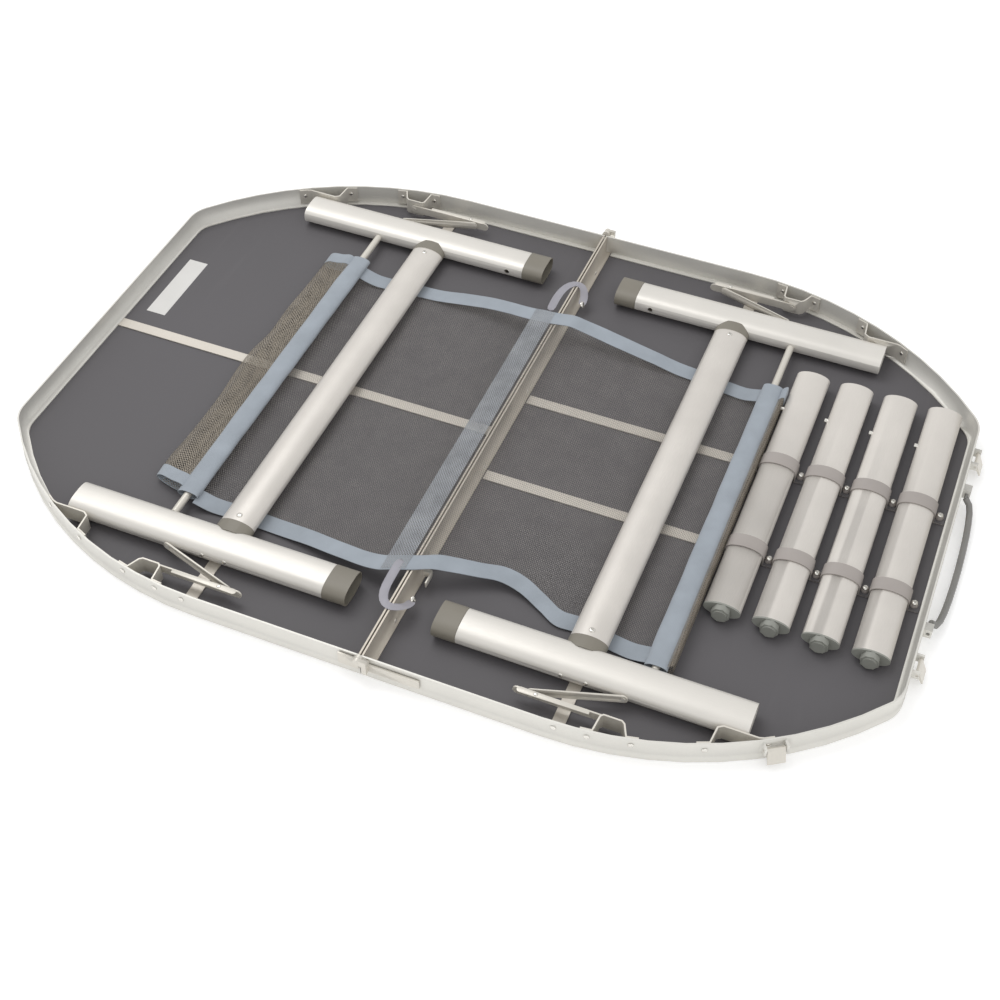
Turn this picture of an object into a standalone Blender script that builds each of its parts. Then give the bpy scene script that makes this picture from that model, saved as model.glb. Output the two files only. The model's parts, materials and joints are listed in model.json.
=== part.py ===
"""Folding camping table, lying face down with its legs folded in.

Units are metres, +Z is up and the fold runs along Y. The tabletop faces the floor, the underside is up.
Each half is a shallow tray: a panel held in an aluminium rim. Legs, cross tubes, net rods and braces fold
into the tray, and four extension legs lie in clips on the right half.
"""

import math

import bmesh
import bpy
from mathutils import Matrix, Vector

# Driving dimensions of the table.
HALF_LENGTH = 0.600  # fold plane to the straight end
HALF_WIDTH = 0.426  # centre line to the straight middle of a long side
SIDE_STRAIGHT = 0.224  # straight run of a long side, from the fold plane
SIDE_RADIUS = 0.470  # bow of a long side
SIDE_TURN = math.radians(51)  # how far a long side bows before the corner
FOLD_X = -0.0120  # the fold plane, so that the whole table is centred on the origin
FOLD_GAP = 0.0010  # fold plane to the centre rail
GAP = 0.0003  # between pieces that touch

# The rim's cross-section, measured inwards from the outer face.
RIM_HEIGHT = 0.034
RIM_WALL = 0.0034
RIM_STEP = 0.0012  # the lower band of the outer face stands proud
RIM_STEP_Z = 0.0115
LIP = 0.009
LIP_TOP = 0.0012
FLANGE = 0.011
FLANGE_Z = (0.0048, 0.0064)
PANEL_Z = (0.0015, 0.0045)
FOLD_Z = RIM_HEIGHT + GAP

# Stiffening ribs on the panel.
RIB_WIDTH = 0.016
CROSS_RIB_X = 0.240
RIGHT_RIB_Y = 0.077

# Upper legs: flat-sided oval tubes that hinge near the table's ends.
LEG_Y = 0.328
LEG_Z = 0.0202
LEG_WIDTH = 0.049
LEG_THICK = 0.026
LEG_WALL = 0.0011
LEG_POWER = 2.7  # a flatter oval than an ellipse
LEG_PIVOT_X = 0.440
LEG_OUTER_X = 0.447
LEG_INNER_X = 0.088
COLLAR_END_X = 0.057
COLLAR_PROUD = 0.0004
SNAP_HOLE_X = 0.112
PIN_RADIUS = 0.004
BRACE_PIN_RADIUS = 0.003
PIN_CLEAR = 0.0001
LEG_SIDE_Y = LEG_Y + LEG_WIDTH / 2

CROSS_X = 0.236
CROSS_WIDTH = 0.048
CROSS_THICK = 0.025
ROD_X = 0.321
ROD_RADIUS = 0.005

# Braces: a lever on the half and a link on the leg, whose ends meet when the leg is folded or upright.
BRACE_X = 0.300  # both of its fixed pivots, with the leg folded
BRACE_FOLD = math.radians(9)  # how far from straight the upright brace stays
BRACE_LENGTH = (LEG_PIVOT_X - BRACE_X) / math.sqrt(2) / math.cos(BRACE_FOLD)
LEVER_LENGTH = 0.117
LEVER_Y = 0.3880  # inner face of the lever
STRIP = 0.002  # sheet metal of levers, links and brackets
LINK_HEIGHT = 0.012

# Extension legs in their clips.
EXTENSION_X = 0.367
EXTENSION_PITCH = 0.061
EXTENSION_COUNT = 4
EXTENSION_WIDTH = 0.0464
EXTENSION_THICK = 0.0225
EXTENSION_WALL = 0.0013
EXTENSION_Z = 0.0178
EXTENSION_Y = (-0.183, 0.257)
EXTENSION_CAP = 0.0020  # the end plug's rim beyond the tube
RIB_END_X = 0.330  # the right half's ribs stop short of the extension legs
BUTTON_Y = 0.182
BUTTON_RADIUS = 0.0035
STEM_RADIUS = 0.005
FOOT_RADIUS = 0.012
CLIP_WIDTH = 0.020
CLIP_THICK = 0.0016

# Net under the folded legs, and the fittings on the right end.
NET_THICK = 0.0006
HANDLE_Y = 0.116
HANDLE_Z = 0.0215
END_LATCH_Y = 0.181
SIDE_LATCH_X = 0.478

KEEP = Matrix.Identity(4)
MIRROR_Y = Matrix.Diagonal((1, -1, 1, 1))
MIRROR_X = Matrix.Diagonal((-1, 1, 1, 1))
SIDES = (("left", MIRROR_X), ("right", KEEP))
ENDS = (("near", MIRROR_Y), ("far", KEEP))
CORNERS = [(f"{side}_{end}", turn @ mirror) for side, turn in SIDES for end, mirror in ENDS]


def clear_scene():
    for obj in list(bpy.data.objects):
        bpy.data.objects.remove(obj, do_unlink=True)


def new_collection(name):
    collection = bpy.data.collections.new(name)
    bpy.context.scene.collection.children.link(collection)
    return collection


clear_scene()
PARTS = new_collection("folding_table")
HELPERS = new_collection("cutters")
HELPERS.hide_render = True
ORIGIN = bpy.data.objects.new("fold_line", None)
ORIGIN.location.x = FOLD_X
PARTS.objects.link(ORIGIN)


def material(name, colour, roughness, metallic):
    made = bpy.data.materials.new(name)
    made.use_nodes = True
    shader = made.node_tree.nodes["Principled BSDF"]
    shader.inputs["Base Color"].default_value = (*colour, 1)
    shader.inputs["Roughness"].default_value = roughness
    shader.inputs["Metallic"].default_value = metallic
    return made


ALUMINIUM = material("satin_aluminium", (0.68, 0.66, 0.62), 0.38, 0.9)
TUBE = material("anodised_tube", (0.74, 0.71, 0.67), 0.35, 0.8)
PANEL = material("panel_underside", (0.14, 0.13, 0.14), 0.6, 0.0)
STEEL = material("zinc_steel", (0.55, 0.53, 0.47), 0.4, 0.9)
COLLAR = material("taupe_plastic", (0.28, 0.25, 0.21), 0.5, 0.0)
CLIP = material("clip_plastic", (0.42, 0.38, 0.37), 0.5, 0.0)
FOOT = material("foot_plastic", (0.28, 0.29, 0.26), 0.5, 0.0)
HANDLE = material("handle_plastic", (0.20, 0.19, 0.18), 0.5, 0.0)
NET = material("net", (0.35, 0.37, 0.40), 0.8, 0.0)


def arc(centre, radius, start, end, steps):
    """Points on an arc, both ends included."""
    turns = [start + (end - start) * i / steps for i in range(steps + 1)]
    return [(centre[0] + radius * math.cos(t), centre[1] + radius * math.sin(t)) for t in turns]


def oval(width, thick, steps=24, power=2.0):
    """A tube's outline, wide along X: an ellipse, or fuller towards a rectangle for a higher power."""
    points = []
    for x, y in circle(1, steps):
        full_x = math.copysign(abs(x) ** (2 / power), x)
        full_y = math.copysign(abs(y) ** (2 / power), y)
        points.append((full_x * width / 2, full_y * thick / 2))
    return points


def circle(radius, steps=16, centre=(0, 0)):
    step = 2 * math.pi / steps
    return arc(centre, radius, step / 2, 2 * math.pi - step / 2, steps - 1)


def bore_circle(pin_radius, steps=16, centre=(0, 0)):
    """A hole that turns freely on a pin of this radius."""
    return circle((pin_radius + PIN_CLEAR) / math.cos(math.pi / steps), steps, centre)


def box_outline(low, high):
    return [(low[0], low[1]), (high[0], low[1]), (high[0], high[1]), (low[0], high[1])]


def place(mesh, name, paint, turn=KEEP, pivot=(0, 0, 0), collection=PARTS):
    """An object with its origin on the pivot. The mesh is drawn about the pivot, and turn mirrors both."""
    mesh = turned(mesh, turn)
    mesh.materials.clear()
    obj = bpy.data.objects.new(name, mesh)
    collection.objects.link(obj)
    obj.parent = ORIGIN
    obj.location = turn @ Vector(pivot)
    if collection is HELPERS:
        obj.hide_render = True
        obj.display_type = "WIRE"
    else:
        mesh.materials.append(paint)
    return obj


def mesh_of_curve(curve):
    """The curve's evaluated mesh with its caps welded; the curve object is removed."""
    holder = bpy.data.objects.new("curve", curve)
    HELPERS.objects.link(holder)
    graph = bpy.context.evaluated_depsgraph_get()
    mesh = bpy.data.meshes.new_from_object(holder.evaluated_get(graph))
    bpy.data.objects.remove(holder, do_unlink=True)
    cage = bmesh.new()
    cage.from_mesh(mesh)
    bmesh.ops.remove_doubles(cage, verts=cage.verts, dist=1e-6)
    bmesh.ops.recalc_face_normals(cage, faces=cage.faces)
    cage.to_mesh(mesh)
    cage.free()
    return mesh


def flat_curve(loops):
    curve = bpy.data.curves.new("outline", "CURVE")
    curve.dimensions = "2D"
    curve.fill_mode = "BOTH"
    for loop in loops:
        spline = curve.splines.new("POLY")
        spline.points.add(len(loop) - 1)
        for point, (x, y) in zip(spline.points, loop):
            point.co = (x, y, 0, 1)
        spline.use_cyclic_u = True
    return curve


def move(mesh, matrix):
    mesh.transform(matrix)
    if matrix.determinant() < 0:
        mesh.flip_normals()


def extrude(loops, low, high, frame=Matrix.Identity(4)):
    """A mesh of the outline, with later loops as holes, between two heights of the frame it is drawn in."""
    curve = flat_curve(loops)
    curve.extrude = (high - low) / 2
    mesh = mesh_of_curve(curve)
    move(mesh, frame @ Matrix.Translation((0, 0, (low + high) / 2)))
    return mesh


# Frames in which an outline is drawn: (first, second) are the outline's axes and the third is the extrusion.
ALONG_Y = Matrix(((1, 0, 0, 0), (0, 0, 1, 0), (0, 1, 0, 0), (0, 0, 0, 1)))  # outline in XZ, extruded in Y
ALONG_X = Matrix(((0, 0, 1, 0), (1, 0, 0, 0), (0, 1, 0, 0), (0, 0, 0, 1)))  # outline in YZ, extruded in X


def turned(mesh, matrix):
    copy = mesh.copy()
    move(copy, matrix)
    return copy


def recalculated(mesh):
    cage = bmesh.new()
    cage.from_mesh(mesh)
    bmesh.ops.recalc_face_normals(cage, faces=cage.faces)
    cage.to_mesh(mesh)
    cage.free()
    return mesh


def boolean(obj, mesh, operation, turn):
    """Joins or cuts a mesh that is drawn about the same pivot as the object's own."""
    name = f"{obj.name}_{operation.lower()}_{len(obj.modifiers)}"
    helper = place(recalculated(mesh.copy()), name, None, turn, collection=HELPERS)
    helper.location = obj.location
    modifier = obj.modifiers.new(operation.title(), "BOOLEAN")
    modifier.operation = operation
    modifier.object = helper


def join(obj, mesh, turn=KEEP):
    boolean(obj, mesh, "UNION", turn)


def cut(obj, mesh, turn=KEEP):
    boolean(obj, mesh, "DIFFERENCE", turn)


def box(low, high):
    return extrude([box_outline(low[:2], high[:2])], low[2], high[2])


def rod_y(radius, centre, low, high, steps=16):
    """A cylinder along Y; centre is its X and Z."""
    return extrude([circle(radius, steps, centre)], low, high, ALONG_Y)


def bore_y(pin_radius, centre, low, high, steps=16):
    """A cutter along Y for a hole that turns freely on a pin."""
    return extrude([bore_circle(pin_radius, steps, centre)], low, high, ALONG_Y)


def shade(obj, degrees=35):
    obj.data.shade_smooth()
    obj.data.set_sharp_from_angle(angle=math.radians(degrees))


def sheet_strip(points, low, high, thickness):
    """Bent sheet metal standing on edge: an open wall through plan points, given its thickness by Solidify."""
    cage = bmesh.new()
    bottom = [cage.verts.new((x, y, low)) for x, y in points]
    edges = [cage.edges.new(pair) for pair in zip(bottom, bottom[1:])]
    lifted = bmesh.ops.extrude_edge_only(cage, edges=edges)["geom"]
    raised = [item for item in lifted if isinstance(item, bmesh.types.BMVert)]
    bmesh.ops.translate(cage, verts=raised, vec=(0, 0, high - low))
    bmesh.ops.recalc_face_normals(cage, faces=cage.faces)
    mesh = bpy.data.meshes.new("strip")
    cage.to_mesh(mesh)
    cage.free()
    holder = bpy.data.objects.new("strip", mesh)
    HELPERS.objects.link(holder)
    wall = holder.modifiers.new("Solidify", "SOLIDIFY")
    wall.thickness = thickness
    wall.offset = 0
    wall.use_even_offset = True
    graph = bpy.context.evaluated_depsgraph_get()
    solid = bpy.data.meshes.new_from_object(holder.evaluated_get(graph))
    bpy.data.objects.remove(holder, do_unlink=True)
    return recalculated(solid)


# The right half's outline, drawn anticlockwise from the fold on the near side to the fold on the far side.
ARC_END = (
    SIDE_STRAIGHT + SIDE_RADIUS * math.sin(SIDE_TURN),
    HALF_WIDTH - SIDE_RADIUS * (1 - math.cos(SIDE_TURN)),
)
CORNER_RADIUS = (HALF_LENGTH - ARC_END[0]) / (1 - math.sin(SIDE_TURN))
CORNER = (HALF_LENGTH - CORNER_RADIUS, ARC_END[1] - CORNER_RADIUS * math.cos(SIDE_TURN))
SIDE_CENTRE = (SIDE_STRAIGHT, HALF_WIDTH - SIDE_RADIUS)
SIDE_STEPS = 10
CORNER_STEPS = 6


def half_outline(inset, start=FOLD_GAP):
    quarter = math.pi / 2
    far = [(start, HALF_WIDTH - inset)]
    far += arc(SIDE_CENTRE, SIDE_RADIUS - inset, quarter, quarter - SIDE_TURN, SIDE_STEPS)
    far += arc(CORNER, CORNER_RADIUS - inset, quarter - SIDE_TURN, 0, CORNER_STEPS)[1:]
    near = [(x, -y) for x, y in far]
    return near + far[::-1]


def side_y(x, inset=0.0):
    """Half-width of the rim at x, before the corner."""
    if x <= SIDE_STRAIGHT:
        return HALF_WIDTH - inset
    run = min(x, ARC_END[0]) - SIDE_STRAIGHT
    return SIDE_CENTRE[1] + math.sqrt((SIDE_RADIUS - inset) ** 2 - run**2)


def rim_profile():
    """The rim's section: x is measured inwards from the outer face and y is height."""
    return [
        (0, 0),
        (LIP, 0),
        (LIP, LIP_TOP),
        (RIM_WALL, LIP_TOP),
        (RIM_WALL, FLANGE_Z[0]),
        (FLANGE, FLANGE_Z[0]),
        (FLANGE, FLANGE_Z[1]),
        (RIM_WALL, FLANGE_Z[1]),
        (RIM_WALL, RIM_HEIGHT),
        (RIM_STEP, RIM_HEIGHT),
        (RIM_STEP, RIM_STEP_Z),
        (0, RIM_STEP_Z - RIM_STEP),
    ]


def swept_rim():
    """The rim's profile swept along the half's outline as a bevelled curve."""
    profile = flat_curve([[(-x, y) for x, y in rim_profile()]])
    section = bpy.data.objects.new("rim_section", profile)
    HELPERS.objects.link(section)
    section.hide_render = True
    path = bpy.data.curves.new("rim_path", "CURVE")
    path.dimensions = "3D"
    path.twist_mode = "Z_UP"
    points = half_outline(0)
    spline = path.splines.new("POLY")
    spline.points.add(len(points) - 1)
    for point, (x, y) in zip(spline.points, points):
        point.co = (x, y, 0, 1)
    path.bevel_mode = "OBJECT"
    path.bevel_object = section
    path.use_fill_caps = True
    mesh = mesh_of_curve(path)
    bpy.data.objects.remove(section, do_unlink=True)
    return mesh


def rail_mesh():
    """The centre rail: the rim's section run straight along the fold."""
    section = [(FOLD_GAP + max(x - RIM_STEP, 0), z) for x, z in rim_profile()]
    section = section[:-2] + [(FOLD_GAP, RIM_HEIGHT)] if section[-1] == section[0] else section
    unique = [point for i, point in enumerate(section) if point != section[i - 1]]
    reach = HALF_WIDTH - RIM_WALL - GAP
    return extrude([unique], -reach, reach, ALONG_Y)


def build_halves():
    rim = swept_rim()
    panel = extrude([half_outline(RIM_WALL + GAP, FOLD_GAP + RIM_WALL + GAP)], *PANEL_Z)
    rail = rail_mesh()
    notch_x = FOLD_GAP + FLANGE + GAP
    notch_y = HALF_WIDTH - RIM_WALL
    notch = box((-0.002, -notch_y, -0.002), (notch_x, notch_y, RIM_HEIGHT + 0.002))
    for side, turn in SIDES:
        place(panel, f"{side}_panel", PANEL, turn)
        frame = place(rim, f"{side}_rim", ALUMINIUM, turn)
        cut(frame, notch, turn)
        place(rail, f"{side}_centre_rail", ALUMINIUM, turn)


def rib_box(x_low, x_high, y_low, y_high):
    return box((x_low, y_low, FLANGE_Z[0]), (x_high, y_high, FLANGE_Z[1]))


def build_ribs():
    """One rib under the cross tube and one or two along the half, welded where they cross."""
    start = FOLD_GAP + FLANGE + GAP
    end = HALF_LENGTH - FLANGE - GAP
    reach = side_y(CROSS_RIB_X + RIB_WIDTH / 2, FLANGE) - 0.0010
    half = RIB_WIDTH / 2
    across = rib_box(CROSS_RIB_X - half, CROSS_RIB_X + half, -reach, reach)
    for side, turn in SIDES:
        ribs = place(across, f"{side}_ribs", ALUMINIUM, turn)
        for y in (0,) if side == "left" else (-RIGHT_RIB_Y, RIGHT_RIB_Y):
            join(ribs, rib_box(start, end if side == "left" else RIB_END_X, y - half, y + half), turn)


def build_fold_hinges():
    """Two-leaf hinges outside the rim's corners, with the pin fixed in the left leaf."""
    axis = (0, 0, FOLD_Z)
    outside = -HALF_WIDTH - GAP
    plate, left_reach, right_reach = 0.002, 0.028, 0.076
    barrel, pin = 0.005, 0.002
    split, end = outside - 0.0045, outside - 0.0095
    left_plate = box((-left_reach, outside - plate, -0.022), (-0.0015, outside, -0.003))
    left_wing = box((-0.006, split, -0.007), (-0.0015, outside, 0))
    right_plate = box((0.006, outside - plate, -0.021), (right_reach, outside, -0.007))
    right_post = box((0.006, end, -0.018), (0.012, outside, -0.001))
    right_wing = box((0.0005, end, -0.005), (0.012, split - GAP, 0.0040))
    for where, turn in (("near", KEEP), ("far", MIRROR_Y)):
        left = place(left_plate, f"fold_hinge_left_leaf_{where}", STEEL, turn, axis)
        join(left, rod_y(barrel, (0, 0), split, outside), turn)
        join(left, left_wing, turn)
        join(left, rod_y(pin, (0, 0), end, split + 0.001), turn)
        right = place(right_plate, f"fold_hinge_right_leaf_{where}", STEEL, turn, axis)
        join(right, right_post, turn)
        join(right, right_wing, turn)
        join(right, rod_y(barrel, (0, 0), end, split - GAP), turn)
        cut(right, bore_y(pin, (0, 0), end - 0.002, split + 0.002), turn)


def build_brackets():
    """A hat-shaped strip beside each leg's outer end, with the leg's pivot pin, and one for each brace lever."""
    inner = RIM_WALL + 0.0010 + STRIP / 2
    beside = LEG_SIDE_Y + 0.0010 + STRIP / 2
    across = LEVER_Y + STRIP + 0.0010 + STRIP / 2
    leg_path = [(x, side_y(x, inner)) for x in (0.476, 0.466)]
    leg_path += [(0.460, beside), (0.419, beside), (0.413, beside + 0.004)]
    leg_path += [(x, side_y(x, inner)) for x in (0.411, 0.397)]
    brace_path = [(x, side_y(x, inner)) for x in (0.336, 0.322)]
    brace_path += [(0.315, across + 0.003), (0.311, across), (0.289, across), (0.286, across + 0.003)]
    brace_path += [(x, side_y(x, inner)) for x in (0.284, 0.270)]
    low, high = 0.0090, RIM_HEIGHT - 0.0010
    leg_strip = sheet_strip(leg_path, low, high, STRIP)
    leg_pin = rod_y(PIN_RADIUS, (LEG_PIVOT_X, LEG_Z), LEG_SIDE_Y - 0.010, beside)
    brace_strip = sheet_strip(brace_path, low, high, STRIP)
    brace_pin = rod_y(BRACE_PIN_RADIUS, (BRACE_X, LEG_Z), LEVER_Y - 0.0010, across)
    for corner, turn in CORNERS:
        leg_bracket = place(leg_strip, f"leg_bracket_{corner}", STEEL, turn)
        join(leg_bracket, leg_pin, turn)
        brace_bracket = place(brace_strip, f"brace_bracket_{corner}", STEEL, turn)
        join(brace_bracket, brace_pin, turn)


def link_outline(length, height):
    """A bar from its pivot at the origin towards -X, with round ends."""
    near = arc((0, 0), height / 2, -math.pi / 2, math.pi / 2, 6)
    far = arc((-length, 0), height / 2, math.pi / 2, 3 * math.pi / 2, 6)
    return near + far


def build_braces():
    """The lever swings on the half and ends in a finger tab; the link swings on the leg and slants to the knee.

    The knee has a rivet head on each of the two, and no pin through both.
    """
    knee = (-BRACE_LENGTH, 0)
    pivot = (BRACE_X, 0, LEG_Z)
    hole = bore_circle(BRACE_PIN_RADIUS)
    outside = LEVER_Y + STRIP
    lever = extrude([link_outline(LEVER_LENGTH, LINK_HEIGHT), hole], LEVER_Y, outside, ALONG_Y)
    lever_head = rod_y(BRACE_PIN_RADIUS, knee, LEVER_Y + STRIP / 2, outside + 0.0012, 12)
    start, end = LEG_SIDE_Y + 0.0010, LEVER_Y - STRIP - 0.0008
    link = extrude([link_outline(BRACE_LENGTH, LINK_HEIGHT), hole], start, start + STRIP, ALONG_Y)
    for vertex in link.vertices:
        share = min(max((-vertex.co.x - 0.012) / (BRACE_LENGTH - 0.024), 0), 1)
        vertex.co.y += (end - start) * share
    link_head = rod_y(BRACE_PIN_RADIUS, knee, end - 0.0012, end + STRIP / 2, 12)
    for corner, turn in CORNERS:
        arm = place(lever, f"brace_lever_{corner}", STEEL, turn, pivot)
        join(arm, lever_head, turn)
        bar = place(link, f"brace_link_{corner}", STEEL, turn, pivot)
        join(bar, link_head, turn)


def leg_oval(grow):
    """The leg tube's outline, grown all round."""
    return oval(LEG_WIDTH + 2 * grow, LEG_THICK + 2 * grow, power=LEG_POWER)


def build_legs():
    """Each leg tube runs from its pivot, the origin here, to a collar that takes an extension leg."""
    pivot = (LEG_PIVOT_X, LEG_Y, LEG_Z)
    half = LEG_WIDTH / 2
    outer = leg_oval(0)
    bore = leg_oval(-LEG_WALL)
    tube = extrude([outer, bore], LEG_INNER_X + GAP - LEG_PIVOT_X, LEG_OUTER_X - LEG_PIVOT_X, ALONG_X)
    collar_outline = leg_oval(COLLAR_PROUD)
    collar_bore = oval(EXTENSION_WIDTH + 0.0008, EXTENSION_THICK + 0.0008, power=LEG_POWER)
    collar_x = (COLLAR_END_X - LEG_PIVOT_X, LEG_INNER_X - LEG_PIVOT_X)
    collar = extrude([collar_outline, collar_bore], *collar_x, ALONG_X)
    pivot_hole = bore_y(PIN_RADIUS, (0, 0), 0, half + 0.002)
    snap_hole = rod_y(BUTTON_RADIUS + GAP, (SNAP_HOLE_X - LEG_PIVOT_X, 0), -half - 0.002, 0)
    stud = rod_y(BRACE_PIN_RADIUS, (BRACE_X - LEG_PIVOT_X, 0), half - 0.001, half + 0.0040)
    for corner, turn in CORNERS:
        leg = place(tube, f"leg_tube_{corner}", TUBE, turn, pivot)
        cut(leg, pivot_hole, turn)
        cut(leg, snap_hole, turn)
        join(leg, stud, turn)
        place(collar, f"leg_collar_{corner}", COLLAR, turn, pivot)


def build_cross_tubes():
    """An oval tube between two legs, closed by saddle plugs that reach up onto the legs' round edges."""
    pivot = (LEG_PIVOT_X, 0, LEG_Z)
    reach = LEG_Y - LEG_WIDTH / 2 - GAP
    at_tube = Matrix.Translation((CROSS_X - LEG_PIVOT_X, 0, 0))
    outline = oval(CROSS_WIDTH, CROSS_THICK)
    bore = oval(CROSS_WIDTH - 2 * LEG_WALL, CROSS_THICK - 2 * LEG_WALL)
    tube = extrude([outline, bore], -reach + 0.006, reach - 0.006, at_tube @ ALONG_Y)
    saddle = oval(CROSS_WIDTH + 2 * COLLAR_PROUD, CROSS_THICK + 2 * COLLAR_PROUD, 28)
    plug = extrude([saddle], reach - 0.010, reach + 0.009, at_tube @ ALONG_Y)
    at_leg = Matrix.Translation((0, LEG_Y, 0))
    leg = extrude([leg_oval(GAP)], -0.25, -0.15, at_leg @ ALONG_X)
    drain = extrude([circle(0.003, 12)], -LEG_Z, 0, at_tube)
    rod = rod_y(ROD_RADIUS, (ROD_X - LEG_PIVOT_X, 0), -reach, reach)
    for side, turn in SIDES:
        cross = place(tube, f"cross_tube_{side}", TUBE, turn, pivot)
        for end in (KEEP, MIRROR_Y):
            join(cross, plug, turn @ end)
        for end in (KEEP, MIRROR_Y):
            cut(cross, leg, turn @ end)
        cut(cross, drain, turn)
        place(rod, f"net_rod_{side}", ALUMINIUM, turn, pivot)


def build_extensions():
    """Extension legs: an oval tube with an end plug, a screw foot in it and a spring button in its side."""
    near, far = EXTENSION_Y
    outline = oval(EXTENSION_WIDTH, EXTENSION_THICK)
    bore = oval(EXTENSION_WIDTH - 2 * EXTENSION_WALL, EXTENSION_THICK - 2 * EXTENSION_WALL)
    tube = extrude([outline, bore], near, far, ALONG_Y)
    plug_outline = oval(EXTENSION_WIDTH - EXTENSION_WALL, EXTENSION_THICK - EXTENSION_WALL, 20)
    plug = extrude([plug_outline], near - EXTENSION_CAP / 2, near + 0.013, ALONG_Y)
    cap_outline = oval(EXTENSION_WIDTH + 0.0004, EXTENSION_THICK + 0.0004, 28)
    cap = extrude([cap_outline], near - EXTENSION_CAP, near + 0.0003, ALONG_Y)
    stem_hole = bore_y(STEM_RADIUS, (0, 0), near - 0.010, near + 0.020)
    side = EXTENSION_WIDTH / 2
    at_button = Matrix.Translation((-side, BUTTON_Y, 0))
    button_hole = extrude([bore_circle(BUTTON_RADIUS, 12)], -0.010, 0.006, at_button @ ALONG_X)
    button = extrude([circle(BUTTON_RADIUS, 12)], -0.0035, 0.0055, ALONG_X)
    flange = extrude([circle(BUTTON_RADIUS + 0.0012, 12)], 0.0046, 0.0060, ALONG_X)
    for i in range(EXTENSION_COUNT):
        x = EXTENSION_X + i * EXTENSION_PITCH
        obj = place(tube, f"extension_tube_{i + 1}", TUBE, pivot=(x, 0, EXTENSION_Z))
        join(obj, plug)
        join(obj, cap)
        cut(obj, stem_hole)
        cut(obj, button_hole)
        build_foot(i + 1, (x, near, EXTENSION_Z))
        snap = place(button, f"snap_button_{i + 1}", STEEL, pivot=(x - side, BUTTON_Y, EXTENSION_Z))
        join(snap, flange)


def build_foot(number, pivot):
    """A knurled knob with a raised pad, and a stem up the middle of the end plug."""
    outline = []
    for i, (x, y) in enumerate(circle(1, 16)):
        radius = FOOT_RADIUS if i % 2 else FOOT_RADIUS - 0.0012
        outline.append((x * radius, y * radius))
    foot = place(extrude([outline], -0.0105, -EXTENSION_CAP - GAP, ALONG_Y), f"screw_foot_{number}", FOOT, pivot=pivot)
    join(foot, rod_y(FOOT_RADIUS - 0.003, (0, 0), -0.0125, -0.009))
    join(foot, rod_y(STEM_RADIUS, (0, 0), -0.003, 0.036))


def clip_outline():
    """The clip strip in XZ: an arch that hugs each tube, joined by a web on the panel between them."""
    base = PANEL_Z[1] + GAP
    over = []
    under = []
    for i in range(EXTENSION_COUNT):
        x = EXTENSION_X + i * EXTENSION_PITCH
        for points, grow in ((over, CLIP_THICK), (under, 0)):
            wide = EXTENSION_WIDTH / 2 + GAP + grow
            high = EXTENSION_THICK / 2 + GAP + grow
            points.append((x - wide, base + grow))
            crown = arc((0, 0), 1, math.pi, 0, 16)
            points += [(x + wide * c, EXTENSION_Z + high * h) for c, h in crown]
            points.append((x + wide, base + grow))
    first, last = over[0][0] + CLIP_THICK, over[-1][0] - CLIP_THICK
    over = [(first - 0.006, base), (first - 0.006, base + CLIP_THICK)] + over
    over += [(last + 0.0145, base + CLIP_THICK), (last + 0.0145, base)]
    return over + under[::-1]


def build_clips():
    for name, y in (("lower", -RIGHT_RIB_Y), ("upper", RIGHT_RIB_Y)):
        strip = extrude([clip_outline()], y - CLIP_WIDTH / 2, y + CLIP_WIDTH / 2, ALONG_Y)
        place(strip, f"clip_strip_{name}", CLIP)


def build_handle():
    """A bowed carry handle that hangs from two lugs on the right end."""
    pivot = (HALF_LENGTH + 0.0048, 0, HANDLE_Z)
    depth, grip, tilt = 0.0213, 0.0042, math.radians(45)
    end = HANDLE_Y - 0.0065
    bow = arc((0, 0), 1, -math.pi / 2, math.pi / 2, 12)[1:-1]
    path = [(0, -end, 0)] + [(depth * x**0.6, end * y, 0) for x, y in bow] + [(0, end, 0)]
    curve = bpy.data.curves.new("handle", "CURVE")
    curve.dimensions = "3D"
    curve.bevel_depth = grip
    curve.bevel_resolution = 2
    curve.use_fill_caps = True
    spline = curve.splines.new("POLY")
    spline.points.add(len(path) - 1)
    for point, co in zip(spline.points, path):
        point.co = (*co, 1)
    mesh = mesh_of_curve(curve)
    mesh.transform(Matrix.Rotation(tilt, 4, "Y"))
    handle = place(mesh, "carry_handle", HANDLE, pivot=pivot)
    rim = bpy.data.objects["right_rim"]
    lug = box((HALF_LENGTH - 0.0020, HANDLE_Y, -0.007), (pivot[0] + 0.0045, HANDLE_Y + 0.012, 0.007))
    lug.transform(Matrix.Translation((0, 0, HANDLE_Z)))
    bore = bore_y(0.0024, (pivot[0], HANDLE_Z), HANDLE_Y - 0.002, HANDLE_Y + 0.014)
    for turn in (KEEP, MIRROR_Y):
        join(handle, rod_y(0.0024, (0, 0), HANDLE_Y - 0.009, HANDLE_Y + 0.0035), turn)
        join(rim, lug, turn)
        cut(rim, bore, turn)


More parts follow.
